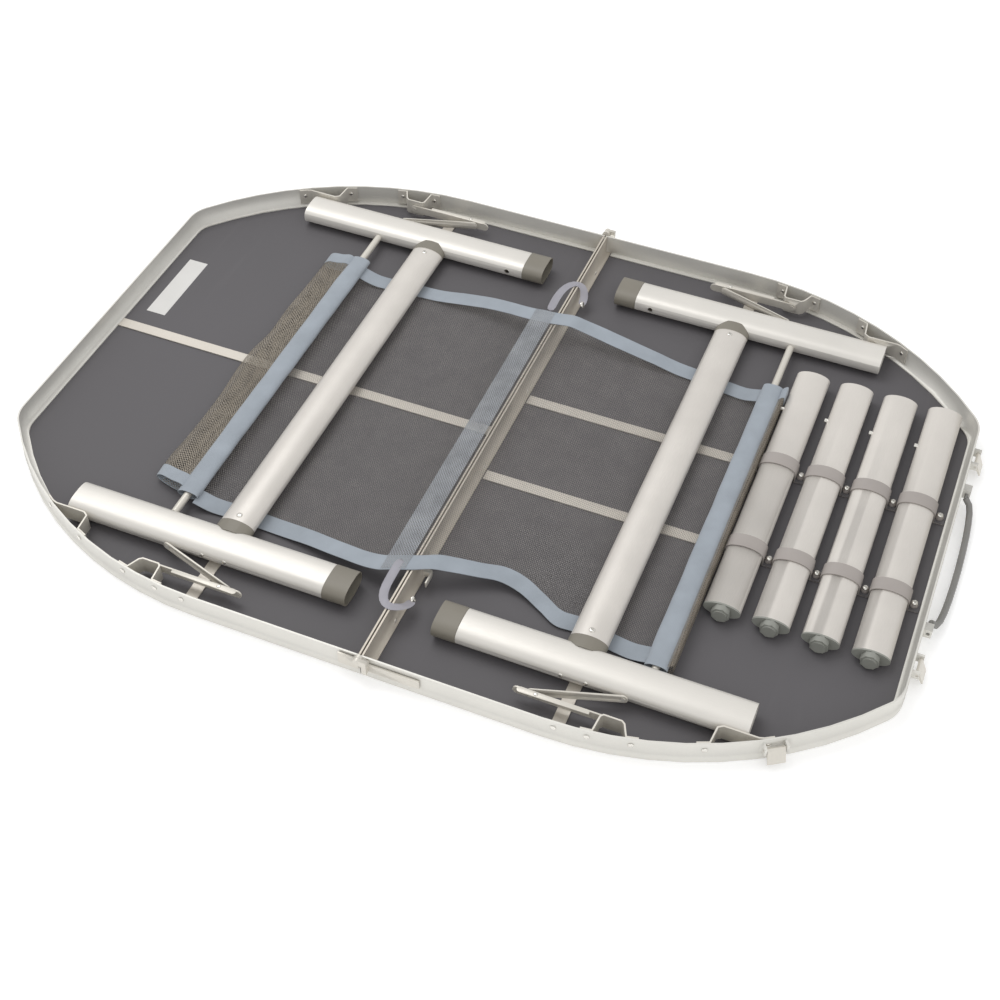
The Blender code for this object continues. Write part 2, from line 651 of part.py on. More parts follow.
def build_latches():
    """Draw latches that hold the closed table shut: two on the right end and one on the near side."""
    pin, height = 0.0018, 0.024
    stand = 0.0054  # pivot to the rim's face
    ears = [box((-stand - 0.002, y, -0.006), (0.0033, y + 0.003, 0.006)) for y in (-0.0145, 0.0115)]
    bore = bore_y(pin, (0, 0), -0.020, 0.020, 12)
    profile = [(0.0080, -0.0170), (0.0096, -0.0162), (0.0028, 0.0002), (0.0006, 0.0028), (-0.0024, 0.0012)]
    lever = extrude([profile], -0.0108, 0.0108, ALONG_Y)
    rim = bpy.data.objects["right_rim"]
    bow = math.asin((SIDE_LATCH_X - SIDE_STRAIGHT) / SIDE_RADIUS)
    side_turn = Matrix.Rotation(bow - math.pi / 2, 4, "Z")
    side_face = Vector((SIDE_LATCH_X, -side_y(SIDE_LATCH_X) + 0.0006, height))
    side_pivot = side_face + side_turn @ Vector((stand, 0, 0))
    end_pivots = [(HALF_LENGTH + stand - 0.0002, sign * END_LATCH_Y, height) for sign in (-1, 1)]
    places = [
        ("end_latch_near", KEEP, end_pivots[0]),
        ("end_latch_far", KEEP, end_pivots[1]),
        ("side_latch", side_turn, side_pivot),
    ]
    for name, turn, pivot in places:
        latch = place(turned(lever, turn), name, STEEL, pivot=pivot)
        join(latch, rod_y(pin, (0, 0), -0.0140, 0.0140, 12), turn)
        at_pivot = Matrix.Translation(pivot) @ turn
        for ear in ears:
            join(rim, ear, at_pivot)
        cut(rim, bore, at_pivot)


def net_path(side_end):
    """The net's centre line in XZ, from beside the rod, under the cross tube and up beside the centre rail."""
    return [(side_end, 0.0100), (0.268, 0.0069), (0.200, 0.0069), (0.060, 0.0120), (0.016, 0.0290)]


def build_net():
    spans = {"left": (-0.270, 0.230), "right": (-0.286, 0.215)}
    path = net_path(ROD_X - ROD_RADIUS - 0.005)
    half = NET_THICK / 2
    loop = [(x, z + half) for x, z in path] + [(x, z - half) for x, z in reversed(path)]
    for side, turn in SIDES:
        place(extrude([loop], *spans[side], ALONG_Y), f"net_{side}", NET, turn)


build_halves()
build_ribs()
build_fold_hinges()
build_brackets()
build_braces()
build_legs()
build_cross_tubes()
build_extensions()
build_clips()
build_handle()
build_latches()
build_net()
for part in PARTS.objects:
    if part.type == "MESH":
        shade(part)
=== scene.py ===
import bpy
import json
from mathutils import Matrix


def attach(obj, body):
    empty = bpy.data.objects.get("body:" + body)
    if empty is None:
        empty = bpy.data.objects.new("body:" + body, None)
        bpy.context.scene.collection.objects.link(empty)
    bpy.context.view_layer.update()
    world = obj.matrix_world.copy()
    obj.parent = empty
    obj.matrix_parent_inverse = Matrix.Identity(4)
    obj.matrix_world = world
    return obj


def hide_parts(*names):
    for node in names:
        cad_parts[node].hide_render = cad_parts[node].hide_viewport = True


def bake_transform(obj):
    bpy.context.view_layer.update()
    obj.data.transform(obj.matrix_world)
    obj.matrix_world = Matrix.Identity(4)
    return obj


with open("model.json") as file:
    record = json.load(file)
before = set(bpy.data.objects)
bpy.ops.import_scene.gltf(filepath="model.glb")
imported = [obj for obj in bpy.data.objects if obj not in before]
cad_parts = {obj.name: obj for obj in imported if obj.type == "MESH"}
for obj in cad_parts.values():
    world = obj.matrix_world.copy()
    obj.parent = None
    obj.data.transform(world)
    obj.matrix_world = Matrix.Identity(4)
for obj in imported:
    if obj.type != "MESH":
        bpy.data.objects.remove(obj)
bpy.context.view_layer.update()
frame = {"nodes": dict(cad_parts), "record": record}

import json
import math

import bmesh
import bpy
from mathutils import Matrix, Vector

# Layout in the row frame, metres. X is measured from the fold plane where a name says so.
FOLD_X = -0.0120
PANEL_TOP = 0.0045
ROD_X = 0.321
ROD_Z = 0.0202
CROSS_X = 0.236
CROSS_TOP = ROD_Z + 0.0122
TUBE_END_Y = 0.2955  # the cross tube's metal ends here and its saddle plug begins
CAP_Y = -0.1828  # the extension tube's metal ends here and its end plug begins
WEB_TOP = 0.0068
NET_PITCH = 0.0032
WEAVE_PITCH = 0.0011

bodies = frame["record"]["behaviour"]["bodies"]
BODY_OF = {node: body for body, nodes in bodies.items() for node in nodes}


# ---------------------------------------------------------------------------------------------- materials
class Paint:
    """A procedural material: a Principled shader and short ways to feed it."""

    def __init__(self, name, roughness, metallic=0.0, **values):
        self.material = bpy.data.materials.new(name)
        self.material.use_nodes = True
        self.tree = self.material.node_tree
        self.shader = self.tree.nodes["Principled BSDF"]
        self.shader.inputs["Roughness"].default_value = roughness
        self.shader.inputs["Metallic"].default_value = metallic
        for key, value in values.items():
            self.shader.inputs[key.replace("_", " ")].default_value = value
        self.coords = self.tree.nodes.new("ShaderNodeTexCoord")

    def node(self, kind, inputs=None, **settings):
        made = self.tree.nodes.new("ShaderNode" + kind)
        for key, value in settings.items():
            setattr(made, key, value)
        for key, value in (inputs or {}).items():
            if isinstance(value, bpy.types.NodeSocket):
                self.tree.links.new(value, made.inputs[key])
            else:
                made.inputs[key].default_value = value
        return made

    def feed(self, socket, output):
        self.tree.links.new(output, self.shader.inputs[socket])

    def math(self, operation, *values):
        return self.node("Math", dict(enumerate(values)), operation=operation).outputs[0]

    def noise(self, scale, detail=3.0, stretch=(1, 1, 1)):
        place = self.node("Mapping", {"Vector": self.coords.outputs["Object"], "Scale": stretch})
        made = self.node("TexNoise", {"Vector": place.outputs[0], "Scale": scale, "Detail": detail})
        return made.outputs["Fac"]

    def spread(self, value, low, high, start=0.0, end=1.0):
        """value from low..high mapped to start..end, clamped."""
        made = self.node(
            "MapRange",
            {"Value": value, "From Min": low, "From Max": high, "To Min": start, "To Max": end},
        )
        return made.outputs[0]

    def mix(self, share, first, second):
        made = self.node("Mix", {0: share, 6: first, 7: second}, data_type="RGBA")
        return made.outputs[2]

    def bump(self, height, strength, distance):
        made = self.node("Bump", {"Height": height, "Strength": strength, "Distance": distance})
        self.feed("Normal", made.outputs[0])

    def edges(self, low=0.50, high=0.56):
        """Near 1 on outward edges, for wear."""
        return self.spread(self.node("NewGeometry").outputs["Pointiness"], low, high)


def shade_of(colour, factor):
    """The colour made lighter or darker, with an alpha of one."""
    return (*[min(1.0, part * factor) for part in colour], 1)


def metal(name, colour, roughness, metallic, grain=(1, 1, 1)):
    """Satin metal: brushing along the axis of the smallest grain value, blotches and bright worn edges."""
    paint = Paint(name, roughness, metallic)
    brushed = paint.noise(420, 2, grain)
    blotch = paint.noise(14, 4)
    tone = paint.mix(paint.spread(blotch, 0.3, 0.7), shade_of(colour, 0.93), shade_of(colour, 1.04))
    lined = paint.mix(paint.spread(brushed, 0.35, 0.65, 0, 0.35), tone, shade_of(colour, 0.86))
    worn = paint.math("MULTIPLY", paint.edges(), 0.35)
    paint.feed("Base Color", paint.mix(worn, lined, shade_of(colour, 1.18)))
    rough = paint.math("ADD", paint.spread(brushed, 0.3, 0.7, -0.05, 0.06), roughness)
    paint.feed("Roughness", paint.math("ADD", rough, paint.spread(blotch, 0.3, 0.7, -0.03, 0.03)))
    paint.bump(brushed, 0.08, 0.0003)
    return paint.material


def plastic(name, colour, roughness):
    """Moulded plastic: a fine grain, slightly uneven colour and paler rubbed edges."""
    paint = Paint(name, roughness)
    fine = paint.noise(900, 3)
    broad = paint.noise(25, 3)
    tone = paint.mix(paint.spread(broad, 0.3, 0.7), shade_of(colour, 0.92), shade_of(colour, 1.05))
    worn = paint.math("MULTIPLY", paint.edges(0.51, 0.58), 0.3)
    paint.feed("Base Color", paint.mix(worn, tone, shade_of(colour, 1.25)))
    paint.feed("Roughness", paint.math("ADD", paint.spread(fine, 0.3, 0.7, -0.06, 0.06), roughness))
    paint.bump(fine, 0.12, 0.0002)
    return paint.material


def panel_material():
    """The dark underside of the panel: a matte moulded sheet with a faint grain and a few rubbed streaks."""
    colour = (0.098, 0.093, 0.099)
    paint = Paint("panel_underside", 0.62)
    fine = paint.noise(700, 4)
    cloud = paint.noise(5, 4)
    streak = paint.noise(60, 3, (1, 0.08, 1))
    tone = paint.mix(paint.spread(cloud, 0.3, 0.7), shade_of(colour, 0.93), shade_of(colour, 1.06))
    rubbed = paint.spread(streak, 0.62, 0.78, 0, 0.12)
    paint.feed("Base Color", paint.mix(rubbed, tone, shade_of(colour, 1.5)))
    paint.feed("Roughness", paint.spread(cloud, 0.3, 0.7, 0.56, 0.68))
    paint.bump(fine, 0.15, 0.0002)
    return paint.material


def weave_heights(paint):
    """Plain weave on the UV map, which is in metres: threads of the two directions pass over each other."""
    across = paint.node("SeparateXYZ", {0: paint.coords.outputs["UV"]})
    turn = math.pi / WEAVE_PITCH
    first = paint.math("SINE", paint.math("MULTIPLY", across.outputs[0], turn))
    second = paint.math("SINE", paint.math("MULTIPLY", across.outputs[1], turn))
    return paint.math("ABSOLUTE", paint.math("MULTIPLY", first, second))


def binding_material():
    """The grey-blue woven binding of the net's edges and sleeves."""
    colour = (0.300, 0.335, 0.375)
    paint = Paint("blue_grey_binding", 0.78, Sheen_Weight=0.25, Sheen_Roughness=0.5)
    weave = weave_heights(paint)
    cloud = paint.noise(30, 4)
    tone = paint.mix(paint.spread(cloud, 0.3, 0.7), shade_of(colour, 0.9), shade_of(colour, 1.08))
    paint.feed("Base Color", paint.mix(paint.math("MULTIPLY", weave, 0.3), tone, shade_of(colour, 1.3)))
    creases = paint.math("MULTIPLY", paint.noise(120, 3), 0.6)
    paint.bump(paint.math("ADD", paint.math("MULTIPLY", weave, 0.4), creases), 0.35, 0.0006)
    return paint.material


def net_material(name, colour, low, high):
    """Knitted mesh: diagonal threads with open diamond holes, on the UV map in metres.

    The threads are solid below low and gone above high, so larger values make a denser net.
    """
    paint = Paint(name, 0.7)
    place = paint.node("SeparateXYZ", {0: paint.coords.outputs["UV"]})
    turn = math.pi / NET_PITCH
    rise = paint.math("MULTIPLY", place.outputs[0], turn)
    run = paint.math("MULTIPLY", place.outputs[1], turn * 0.72)
    first = paint.math("ABSOLUTE", paint.math("SINE", paint.math("ADD", rise, run)))
    second = paint.math("ABSOLUTE", paint.math("SINE", paint.math("SUBTRACT", rise, run)))
    open_share = paint.math("MULTIPLY", first, second)
    thread = paint.spread(open_share, low, high, 1.0, 0.0)
    cloud = paint.noise(40, 3)
    tone = paint.mix(paint.spread(cloud, 0.3, 0.7), shade_of(colour, 0.85), shade_of(colour, 1.15))
    paint.feed("Base Color", tone)
    paint.feed("Alpha", thread)
    paint.bump(thread, 0.3, 0.0005)
    return paint.material


def clear_plastic():
    """Milky, slightly violet translucent plastic."""
    paint = Paint("translucent_plastic", 0.32, Transmission_Weight=0.3, IOR=1.45, Alpha=0.85)
    colour = (0.48, 0.47, 0.52)
    cloud = paint.noise(60, 3)
    paint.feed("Base Color", paint.mix(cloud, shade_of(colour, 0.85), shade_of(colour, 1.1)))
    paint.bump(paint.noise(300, 2), 0.1, 0.0003)
    return paint.material


def label_material():
    """A blank paper sticker, slightly uneven in tone."""
    colour = (0.66, 0.65, 0.63)
    paint = Paint("blank_label", 0.55)
    paint.feed("Base Color", paint.mix(paint.noise(35, 4), shade_of(colour, 0.95), shade_of(colour, 1.06)))
    paint.bump(paint.noise(500, 3), 0.08, 0.0002)
    return paint.material


def floor_material():
    """A matte white floor that glows a little, so that it stays paler than the soft shadows on it."""
    paint = Paint("studio_floor", 0.9)
    paint.shader.inputs["Specular IOR Level"].default_value = 0.0
    paint.shader.inputs["Emission Color"].default_value = (1, 1, 1, 1)
    paint.shader.inputs["Emission Strength"].default_value = 0.22
    paint.feed("Base Color", paint.mix(paint.noise(3, 2), (0.93, 0.93, 0.93, 1), (0.95, 0.95, 0.95, 1)))
    return paint.material


RIM = metal("satin_rim", (0.68, 0.665, 0.62), 0.42, 0.3, (1, 1, 6))
RAIL = metal("satin_rail", (0.52, 0.475, 0.41), 0.42, 0.35, (6, 0.3, 6))
TUBE_X = metal("anodised_leg", (0.70, 0.675, 0.63), 0.38, 0.35, (0.2, 6, 6))
TUBE_Y = metal("anodised_tube", (0.69, 0.655, 0.61), 0.38, 0.35, (6, 0.2, 6))
RIB = metal("satin_rib", (0.60, 0.56, 0.50), 0.42, 0.4)
STEEL = metal("zinc_plated_steel", (0.64, 0.61, 0.55), 0.40, 0.35)
BRIGHT = metal("bright_screw", (0.75, 0.73, 0.68), 0.22, 0.95)
COLLAR = plastic("taupe_plastic", (0.196, 0.180, 0.148), 0.45)
CLIP = plastic("clip_plastic", (0.335, 0.305, 0.285), 0.5)
WEB = plastic("dark_clip_web", (0.100, 0.095, 0.100), 0.6)
FOOT = plastic("foot_plastic", (0.25, 0.255, 0.23), 0.48)
HANDLE = plastic("handle_plastic", (0.20, 0.195, 0.185), 0.5)
PANEL = panel_material()
BINDING = binding_material()
NET = net_material("knitted_net", (0.29, 0.27, 0.25), 0.030, 0.10)
DENSE_NET = net_material("doubled_net_edge", (0.33, 0.29, 0.235), 0.12, 0.30)
BAND = net_material("blue_grey_mesh_band", (0.33, 0.345, 0.365), 0.22, 0.62)
CLEAR = clear_plastic()
LABEL = label_material()


# ---------------------------------------------------------------------------------------------- pieces
def new_object(name, mesh, paints):
    obj = bpy.data.objects.new(name, mesh)
    bpy.context.scene.collection.objects.link(obj)
    mesh.materials.clear()
    for paint in paints:
        mesh.materials.append(paint)
    return obj


def smooth(mesh, degrees=38):
    mesh.shade_smooth()
    mesh.set_sharp_from_angle(angle=math.radians(degrees))


def mesh_from(cage, name):
    mesh = bpy.data.meshes.new(name)
    cage.to_mesh(mesh)
    cage.free()
    return mesh


def applied(obj):
    """The object's modifiers made part of its mesh."""
    graph = bpy.context.evaluated_depsgraph_get()
    mesh = bpy.data.meshes.new_from_object(obj.evaluated_get(graph))
    obj.modifiers.clear()
    obj.data = mesh
    return obj


def thick(obj, thickness):
    """The surface made a solid sheet, half of the thickness on each side."""
    wall = obj.modifiers.new("thickness", "SOLIDIFY")
    wall.thickness = thickness
    wall.offset = 0
    wall.use_rim = True
    applied(obj)
    smooth(obj.data, 60)
    return obj


def surface(name, columns, rows, point, paint, uv=None, wrap=False):
    """A grid of points point(u, v) for u and v from 0 to 1, with a UV map in metres."""
    cage = bmesh.new()
    layer = cage.loops.layers.uv.new("metres")
    across = columns if wrap else columns + 1
    verts = [
        [cage.verts.new(point(i / columns, j / rows)) for i in range(across)] for j in range(rows + 1)
    ]
    for j in range(rows):
        for i in range(columns):
            n = (i + 1) % across
            face = cage.faces.new((verts[j][i], verts[j][n], verts[j + 1][n], verts[j + 1][i]))
            corners = ((i, j), (i + 1, j), (i + 1, j + 1), (i, j + 1))
            for loop, (a, b) in zip(face.loops, corners):
                place = uv(a / columns, b / rows) if uv else loop.vert.co.xy
                loop[layer].uv = place
    obj = new_object(name, mesh_from(cage, name), [paint])
    smooth(obj.data, 60)
    return obj


def tidied_copy(node):
    """A copy of a CAD node's mesh with welded corners and flat faces joined, for smooth shading."""
    cage = bmesh.new()
    cage.from_mesh(frame["nodes"][node].data)
    bmesh.ops.remove_doubles(cage, verts=cage.verts, dist=2e-6)
    bmesh.ops.dissolve_limit(
        cage, angle_limit=math.radians(0.6), verts=cage.verts, edges=cage.edges, delimit={"NORMAL"}
    )
    return mesh_from(cage, node + "_finish")


def finish_node(node, paint, second=None, is_second=None):
    """A finely shaded copy of the CAD node; faces that is_second picks take the second material."""
    mesh = tidied_copy(node)
    obj = new_object(node + "_finish", mesh, [paint] + ([second] if second else []))
    if second:
        for face in mesh.polygons:
            if is_second(face.center):
                face.material_index = 1
    smooth(mesh)
    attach(obj, BODY_OF[node])
    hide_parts(node)
    return obj


SIDES = (("left", -1), ("right", 1))
ENDS = (("near", -1), ("far", 1))
CORNERS = [f"{side}_{end}" for side, _ in SIDES for end, _ in ENDS]

for side, _ in SIDES:
    finish_node(f"{side}_rim", RIM)
    finish_node(f"{side}_centre_rail", RAIL)
    finish_node(f"{side}_panel", PANEL)
    finish_node(f"{side}_ribs", RIB)
    finish_node(
        f"cross_tube_{side}",
        TUBE_Y,
        second=COLLAR,
        is_second=lambda centre: abs(centre.y) > TUBE_END_Y,
    )
    finish_node(f"net_rod_{side}", STEEL)
    for end, _ in ENDS:
        finish_node(f"fold_hinge_{side}_leaf_{end}", STEEL)
for corner in CORNERS:
    finish_node(f"leg_tube_{corner}", TUBE_X)
    finish_node(f"leg_collar_{corner}", COLLAR)
    for kind in ("leg_bracket", "brace_bracket", "brace_lever", "brace_link"):
        finish_node(f"{kind}_{corner}", STEEL)
for number in range(1, 5):
    finish_node(
        f"extension_tube_{number}",
        TUBE_Y,
        second=FOOT,
        is_second=lambda centre: centre.y < CAP_Y,
    )
    finish_node(f"screw_foot_{number}", FOOT)
    finish_node(f"snap_button_{number}", BRIGHT)
for level in ("lower", "upper"):
    finish_node(
        f"clip_strip_{level}",
        CLIP,
        second=WEB,
        is_second=lambda centre: centre.z < WEB_TOP,
    )
finish_node("carry_handle", HANDLE)
for latch in ("end_latch_near", "end_latch_far", "side_latch"):
    finish_node(latch, STEEL)


# ---------------------------------------------------------------------------------------------- the net
def curve_through(points, x):
    """A smooth value at x through (x, value) points, with no overshoot at the ends."""
    if x <= points[0][0]:
        return points[0][1]
    if x >= points[-1][0]:
        return points[-1][1]
    slopes = []
    for i in range(len(points)):
        low, high = points[max(i - 1, 0)], points[min(i + 1, len(points) - 1)]
        slopes.append((high[1] - low[1]) / (high[0] - low[0]))
    for i in range(len(points) - 1):
        (x0, y0), (x1, y1) = points[i], points[i + 1]
        if x <= x1:
            run = x1 - x0
            t = (x - x0) / run
            h00, h10 = 2 * t**3 - 3 * t**2 + 1, t**3 - 2 * t**2 + t
            h01, h11 = -2 * t**3 + 3 * t**2, t**3 - t**2
            return h00 * y0 + h10 * run * slopes[i] + h01 * y1 + h11 * run * slopes[i + 1]


# X from the fold plane, against the net's height or the outer line of its near or far edge.
NET_HEIGHT = [
    (0.000, 0.0352), (0.016, 0.0352), (0.024, 0.0344), (0.040, 0.0300), (0.070, 0.0245), (0.100, 0.0200),
    (0.130, 0.0150), (0.160, 0.0108), (0.190, 0.0077), (0.212, 0.00705), (0.262, 0.00705), (0.284, 0.0082),
    (0.298, 0.0125), (0.310, 0.0178),
]
NEAR_EDGE = [
    (-0.310, -0.276), (-0.251, -0.273), (-0.156, -0.278), (-0.096, -0.288), (-0.038, -0.294), (0.000, -0.283),
    (0.031, -0.268), (0.078, -0.252), (0.102, -0.245), (0.130, -0.248), (0.161, -0.262), (0.186, -0.275),
    (0.211, -0.275), (0.259, -0.284), (0.310, -0.292),
]
FAR_EDGE = [
    (-0.310, 0.232), (-0.253, 0.236), (-0.211, 0.238), (-0.118, 0.2385), (-0.043, 0.230), (-0.014, 0.2265),
    (0.036, 0.2335), (0.099, 0.229), (0.160, 0.2255), (0.211, 0.222), (0.258, 0.215), (0.310, 0.207),
]
NET_END = 0.310
MIDDLE = 0.060
CLOTH = 0.0004
HEM = 0.0245
HEM_THICK = 0.0009
HEM_PAST = 0.0015
BAND_START = -0.036
BAND_WIDTH = 0.030
BAND_LIFT = 0.0007
BAND_THICK = 0.0008
NET_LENGTH = 0.49


def net_z(x, y):
    """Height of the net: taut over the fold and under the cross tubes, with a little sag between."""
    free = max(0.0, min(1.0, (abs(x) - 0.03) / 0.04, (0.185 - abs(x)) / 0.03))
    sag = 0.0016 * math.sin(21 * y + 3 * math.copysign(1, x)) + 0.0009 * math.sin(47 * y + 30 * x)
    return curve_through(NET_HEIGHT, abs(x)) + free * sag


def arc_length(x):
    """Distance along the net from the fold plane, for its weave."""
    steps = 24
    total = 0.0
    for i in range(steps):
        a, b = abs(x) * i / steps, abs(x) * (i + 1) / steps
        total += math.hypot(b - a, curve_through(NET_HEIGHT, b) - curve_through(NET_HEIGHT, a))
    return math.copysign(total, x)


def net_point(x, share):
    """A point of the net at x from the fold plane, share of the way from its near edge to its far edge."""
    near, far = curve_through(NEAR_EDGE, x), curve_through(FAR_EDGE, x)
    y = near + (far - near) * share
    return Vector((FOLD_X + x, y, net_z(x, y)))


def net_piece(name, start, end):
    columns = max(12, round((end - start) / 0.006))
    lengths = [arc_length(start + (end - start) * i / columns) for i in range(columns + 1)]

    def uv(u, v):
        point = net_point(start + (end - start) * u, v)
        return (lengths[round(u * columns)], point.y)

    return surface(name, columns, 80, lambda u, v: net_point(start + (end - start) * u, v), NET, uv)


def hem_piece(name, start, end, edge, inward):
    columns = max(12, round((end - start) / 0.005))

    def point(u, v):
        x = start + (end - start) * u
        y = curve_through(edge, x) + inward * (v * HEM - HEM_PAST)
        return Vector((FOLD_X + x, y, net_z(x, y)))

    def uv(u, v):
        return (u * (end - start), v * HEM)

    return thick(surface(name, columns, 4, point, BINDING, uv), HEM_THICK)


def fold_band():
    """The doubled strip of mesh that runs along the fold."""

    def point(u, v):
        return net_point(BAND_START + BAND_WIDTH * u, v) + Vector((0, 0, BAND_LIFT))

    def uv(u, v):
        return (BAND_WIDTH * u, NET_LENGTH * v)

    return thick(surface("net_fold_band", 8, 80, point, BAND, uv), BAND_THICK)


SECTIONS = (
    ("left", -NET_END, -MIDDLE, "left_legs", "left_half"),
    ("middle", -MIDDLE, MIDDLE, "left_half", "right_half"),
    ("right", MIDDLE, NET_END, "right_half", "right_legs"),
)
for part, start, end, first, second in SECTIONS:
    piece = thick(net_piece(f"net_{part}_cloth", start, end), CLOTH)
    hems = [
        hem_piece(f"net_{part}_near_hem", start, end, NEAR_EDGE, 1),
        hem_piece(f"net_{part}_far_hem", start, end, FAR_EDGE, -1),
    ]
    if part == "middle":
        hems.append(fold_band())
    for obj in [piece] + hems:
        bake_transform(obj)
    if part != "middle":
        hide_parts(f"net_{part}")


SLEEVE_ROUND = 0.065
SLEEVE_WIDE = 0.0142
SLEEVE_HIGH = 0.0062
SLEEVE_LIFT = 0.0004
SLEEVE_THICK = 0.0007


def sleeve(side, sign, near, far):
    """The binding sleeve round a net rod, a little flattened, with soft creases along it."""

    def point(u, v):
        turn = 2 * math.pi * u
        y = near + (far - near) * v
        ease = 1 + 0.016 * math.sin(46 * y) + 0.012 * math.sin(101 * y + 1.7)
        wide, high = SLEEVE_WIDE * ease, SLEEVE_HIGH * (2 - ease)
        flat_x = math.copysign(abs(math.cos(turn)) ** 0.85, math.cos(turn))
        z = ROD_Z + SLEEVE_LIFT + high * math.sin(turn)
        return Vector((FOLD_X + sign * ROD_X + wide * flat_x, y, z))

    def uv(u, v):
        return (SLEEVE_ROUND * u, (far - near) * v)

    obj = surface(f"net_sleeve_{side}", 28, 70, point, BINDING, uv, wrap=True)
    thick(obj, SLEEVE_THICK)
    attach(obj, f"{side}_legs")


sleeve("left", -1, -0.270, 0.243)
sleeve("right", 1, -0.300, 0.214)

# Y against how far the slack fold reaches beyond the left sleeve.
LOOP_WIDTH = [
    (-0.270, 0.046), (-0.230, 0.048), (-0.190, 0.046), (-0.090, 0.045), (-0.030, 0.049), (0.010, 0.049),
    (0.055, 0.043), (0.110, 0.044), (0.160, 0.042), (0.215, 0.040), (0.240, 0.040),
]
LOOP_START = -0.2640
LOOP_END = 0.2400
LOOP_SLANT = 0.25
LOOP_ROUND = 0.100
LOOP_NEAR_HEM = 0.019
LOOP_FAR_HEM = 0.018
LOOP_HEM_THICK = 0.0010
LOOP_HEM_LIFT = 0.0005
LOOP_HEM_PAST = 0.0008


def spline_at(section, place):
    """A point on the smooth curve through the section's points, for place from 0 to 1."""
    place *= len(section) - 1
    i = min(int(place), len(section) - 2)
    t = place - i
    before, after = section[max(i - 1, 0)], section[min(i + 2, len(section) - 1)]
    weights = (-t + 2 * t**2 - t**3, 2 - 5 * t**2 + 3 * t**3, t + 4 * t**2 - 3 * t**3, t**3 - t**2)
    around = (before, section[i], section[i + 1], after)
    return [0.5 * sum(w * p[k] for w, p in zip(weights, around)) for k in (0, 1)]


def left_loop_point(u, y, lift=0.0):
    """The slack fold of net beyond the left sleeve: out over the top, round a fold and back underneath."""
    width = curve_through(LOOP_WIDTH, y)
    gape = max(0.0, (-0.15 - y) / 0.11, (y - 0.15) / 0.12)
    top = 0.0175 + 0.0016 * math.sin(31 * y) + 0.0060 * gape
    section = [
        (0.009, 0.0240),
        (0.016, top + 0.004),
        (0.012 + 0.4 * width, top + 0.0010),
        (0.012 + 0.8 * width, top - 0.0012),
        (0.012 + width, 0.0125 + 0.001 * gape),
        (0.012 + 0.85 * width, 0.0086),
        (0.012 + 0.45 * width, 0.0078),
        (0.016, 0.0100),
        (0.008, 0.0138),
    ]
    out, z = spline_at(section, u)
    slant = LOOP_SLANT * out * max(0.0, min(1.0, (-0.12 - y) / 0.10))
    rise = lift * math.cos(math.pi * min(1.0, u / 0.9))
    return Vector((FOLD_X - ROD_X - out, y + slant, z + rise))


def left_loop(name, start, end, paint, rows, thickness, lift=0.0):
    """A stretch of the slack fold, from start to end in Y, raised by lift off the cloth it is sewn to."""

    def point(u, v):
        return left_loop_point(u, start + (end - start) * v, lift)

    def uv(u, v):
        return (LOOP_ROUND * u, start + (end - start) * v)

    obj = thick(surface(name, 36, rows, point, paint, uv), thickness)
    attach(obj, "left_legs")
    return obj


def left_loop_hem(end_name, start, end):
    name = f"net_loop_left_{end_name}_hem"
    return left_loop(name, start, end, BINDING, 5, LOOP_HEM_THICK, LOOP_HEM_LIFT)


loop_hems = [
    left_loop_hem("near", LOOP_START - LOOP_HEM_PAST, LOOP_START + LOOP_NEAR_HEM),
    left_loop_hem("far", LOOP_END - LOOP_FAR_HEM, LOOP_END + LOOP_HEM_PAST),
]
slack = left_loop("net_loop_left", LOOP_START, LOOP_END, DENSE_NET, 90, CLOTH)

RIGHT_START = -0.296
RIGHT_RUN = 0.506
RIGHT_ROUND = 0.048
FLAP_START = 0.190
FLAP_RUN = 0.022
FLAP_ROUND = 0.75  # share of the way round the fold


def right_loop_point(u, y):
    """The narrow fold of net that stands between the right sleeve and the first extension leg."""
    lean = 0.0012 * math.sin(37 * y)
    section = [
        (0.3325, 0.0220), (0.335, 0.0262), (0.338, 0.0290), (0.3405, 0.0288 + lean), (0.3410, 0.0250),
        (0.3412, 0.0180), (0.3405, 0.0110), (0.336, 0.0090), (0.330, 0.0130),
    ]
    x, z = spline_at(section, u)
    return Vector((FOLD_X + x, y, z))


def right_flap_point(u, v):
    """The hem at the far end of the right-hand fold, just outside the cloth."""
    return right_loop_point(FLAP_ROUND * u, FLAP_START + FLAP_RUN * v) + Vector((0.0006, 0, 0.0007))


def right_slack_point(u, v):
    return right_loop_point(u, RIGHT_START + RIGHT_RUN * v)


def right_slack_uv(u, v):
    return (RIGHT_ROUND * u, RIGHT_RUN * v)


def flap_uv(u, v):
    return (RIGHT_ROUND * FLAP_ROUND * u, FLAP_RUN * v)


right_slack = thick(surface("net_loop_right", 24, 80, right_slack_point, DENSE_NET, right_slack_uv), CLOTH)
flap = thick(surface("net_loop_right_far_hem", 12, 4, right_flap_point, BINDING, flap_uv), HEM_THICK)
for obj in (right_slack, flap):
    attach(obj, "right_legs")


# ---------------------------------------------------------------------------------------------- small fittings
HEAD_PROFILE = [(1.0, 0.0), (1.0, 0.25), (0.93, 0.55), (0.75, 0.82), (0.56, 0.94), (0.50, 0.97)]
RECESS_TURNS = [math.radians(90 * quarter + a) for quarter in range(4) for a in (-14, -10, 10, 14, 45)]
ROUND_TURNS = [2 * math.pi * i / 16 for i in range(16)]
RECESS_DEPTH = 0.35


